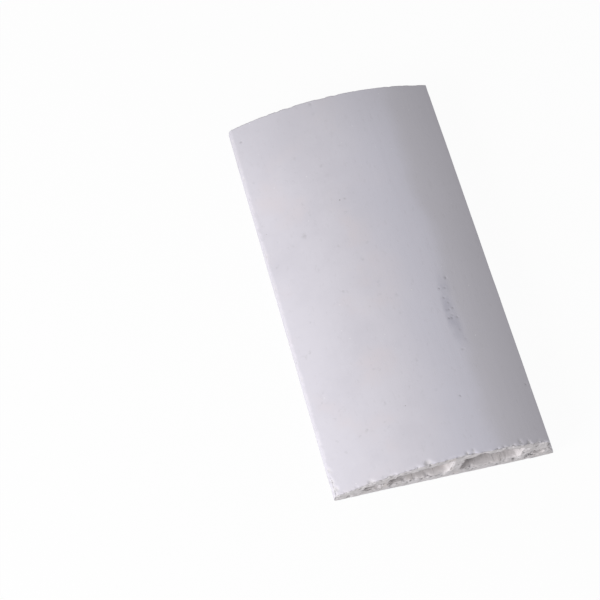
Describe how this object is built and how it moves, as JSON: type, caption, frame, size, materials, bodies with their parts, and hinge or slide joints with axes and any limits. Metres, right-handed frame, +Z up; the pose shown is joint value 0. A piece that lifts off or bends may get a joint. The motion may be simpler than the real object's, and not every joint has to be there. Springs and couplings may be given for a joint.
{
  "type": "hollow refractory firebrick",
  "caption": "Long hollow refractory brick slab with a flat bed, a crowned top, one thin side, one thicker battered side, and cores running from end to end.",
  "frame": {"origin": "middle of the bed, the flat underside that the brick lies on", "axes": "+Z up out of the crowned top, +Y along the length, +X towards the thicker battered side"},
  "size_m": [0.2074, 0.384, 0.0438],
  "materials": {
    "fired_clay": "matt fired skin, pale grey with a faint lilac cast, finely pitted"
  },
  "bodies": {
    "root": {"hollow_firebrick": "fired_clay"}
  },
  "joints": []
}
